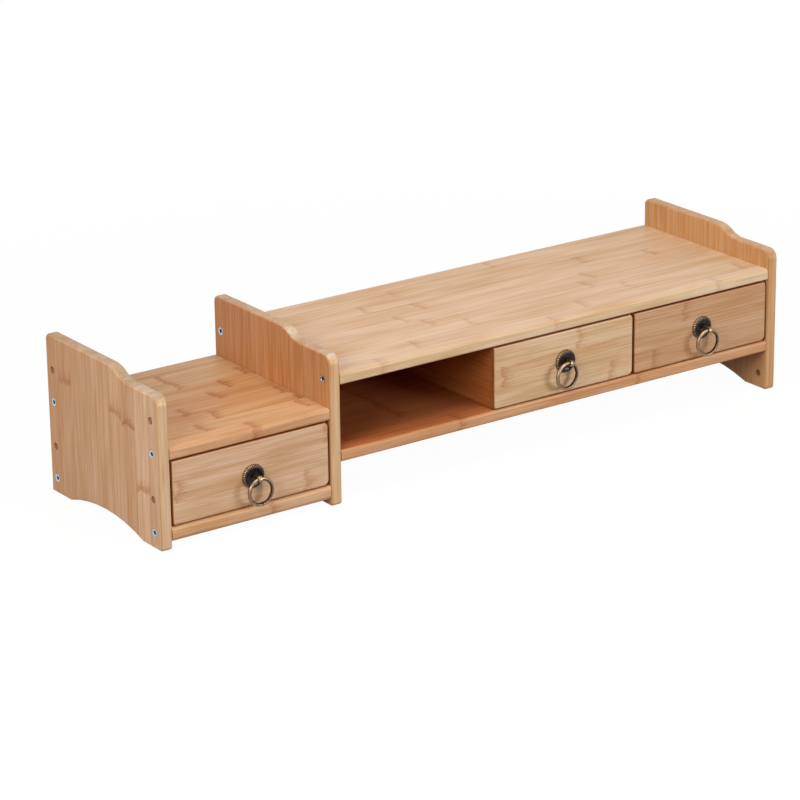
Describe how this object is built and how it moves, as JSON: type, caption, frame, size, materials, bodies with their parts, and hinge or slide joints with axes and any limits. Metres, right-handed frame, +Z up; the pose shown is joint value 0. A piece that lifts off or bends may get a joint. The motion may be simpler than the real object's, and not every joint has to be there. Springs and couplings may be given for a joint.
{
  "type": "monitor riser",
  "caption": "Stepped bamboo monitor riser with shaped end panels, a low step, a long shelf, an open compartment and sliding drawers with hanging ring pulls.",
  "frame": {"origin": "on the table, under the middle of the bounding box", "axes": "+X along the riser from the low step to the end of the shelf, the drawers open towards -Y, +Z up"},
  "size_m": [0.7434, 0.2144, 0.1601],
  "materials": {
    "bamboo": "satin clear lacquer over laminated strips",
    "antique_brass": "aged, burnished on the high spots",
    "dark_brass": "dark brown patina, satin",
    "zinc_steel": "bright zinc plate"
  },
  "bodies": {
    "root": {"left_end_panel": "bamboo", "middle_panel": "bamboo", "right_end_panel": "bamboo", "low_bottom_board": "bamboo", "low_top_board": "bamboo", "high_bottom_board": "bamboo", "high_top_board": "bamboo", "low_back_panel": "bamboo", "high_back_panel": "bamboo", "screw_left_end_low_bottom_front": "zinc_steel", "screw_left_end_low_bottom_rear": "zinc_steel", "screw_left_end_low_top_front": "zinc_steel", "screw_left_end_low_top_rear": "zinc_steel", "screw_middle_low_bottom_front": "zinc_steel", "screw_middle_low_bottom_rear": "zinc_steel", "screw_middle_low_top_front": "zinc_steel", "screw_middle_low_top_rear": "zinc_steel", "screw_middle_high_bottom_front": "zinc_steel", "screw_middle_high_bottom_rear": "zinc_steel", "screw_middle_high_top_front": "zinc_steel", "screw_middle_high_top_rear": "zinc_steel", "screw_right_end_high_bottom_front": "zinc_steel", "screw_right_end_high_bottom_rear": "zinc_steel", "screw_right_end_high_top_front": "zinc_steel", "screw_right_end_high_top_rear": "zinc_steel"},
    "low_drawer": {"low_drawer_front": "bamboo", "low_drawer_left_side": "bamboo", "low_drawer_right_side": "bamboo", "low_drawer_back": "bamboo", "low_drawer_bottom": "bamboo", "low_pull_rosette": "dark_brass", "low_pull_split_pin": "antique_brass"},
    "low_ring": {"low_pull_ring": "antique_brass"},
    "high_left_drawer": {"high_left_drawer_front": "bamboo", "high_left_drawer_left_side": "bamboo", "high_left_drawer_right_side": "bamboo", "high_left_drawer_back": "bamboo", "high_left_drawer_bottom": "bamboo", "high_left_pull_rosette": "dark_brass", "high_left_pull_split_pin": "antique_brass"},
    "high_left_ring": {"high_left_pull_ring": "antique_brass"},
    "high_right_drawer": {"high_right_drawer_front": "bamboo", "high_right_drawer_left_side": "bamboo", "high_right_drawer_right_side": "bamboo", "high_right_drawer_back": "bamboo", "high_right_drawer_bottom": "bamboo", "high_right_pull_rosette": "dark_brass", "high_right_pull_split_pin": "antique_brass"},
    "high_right_ring": {"high_right_pull_ring": "antique_brass"}
  },
  "joints": [
    {"name": "low_drawer_slide", "type": "slide", "parent": "root", "child": "low_drawer", "axis": [0, -1, 0], "range_m": [0, 0.13]},
    {"name": "high_left_drawer_slide", "type": "slide", "parent": "root", "child": "high_left_drawer", "axis": [0, -1, 0], "range_m": [0, 0.13]},
    {"name": "high_right_drawer_slide", "type": "slide", "parent": "root", "child": "high_right_drawer", "axis": [0, -1, 0], "range_m": [0, 0.13]},
    {"name": "low_ring_swing", "type": "hinge", "parent": "low_drawer", "child": "low_ring", "pos_m": [-0.27015, -0.10298, 0.0517], "axis": [-0.9944, -0.0174, -0.1045], "range_deg": [-19, 199]},
    {"name": "high_left_ring_swing", "type": "hinge", "parent": "high_left_drawer", "child": "high_left_ring", "pos_m": [0.09725, -0.10098, 0.0872], "axis": [-0.9361, -0.0819, 0.342], "range_deg": [-15, 192]},
    {"name": "high_right_ring_swing", "type": "hinge", "parent": "high_right_drawer", "child": "high_right_ring", "pos_m": [0.27205, -0.10398, 0.0866], "axis": [-0.9944, 0.0174, 0.1045], "range_deg": [-22, 202]}
  ]
}
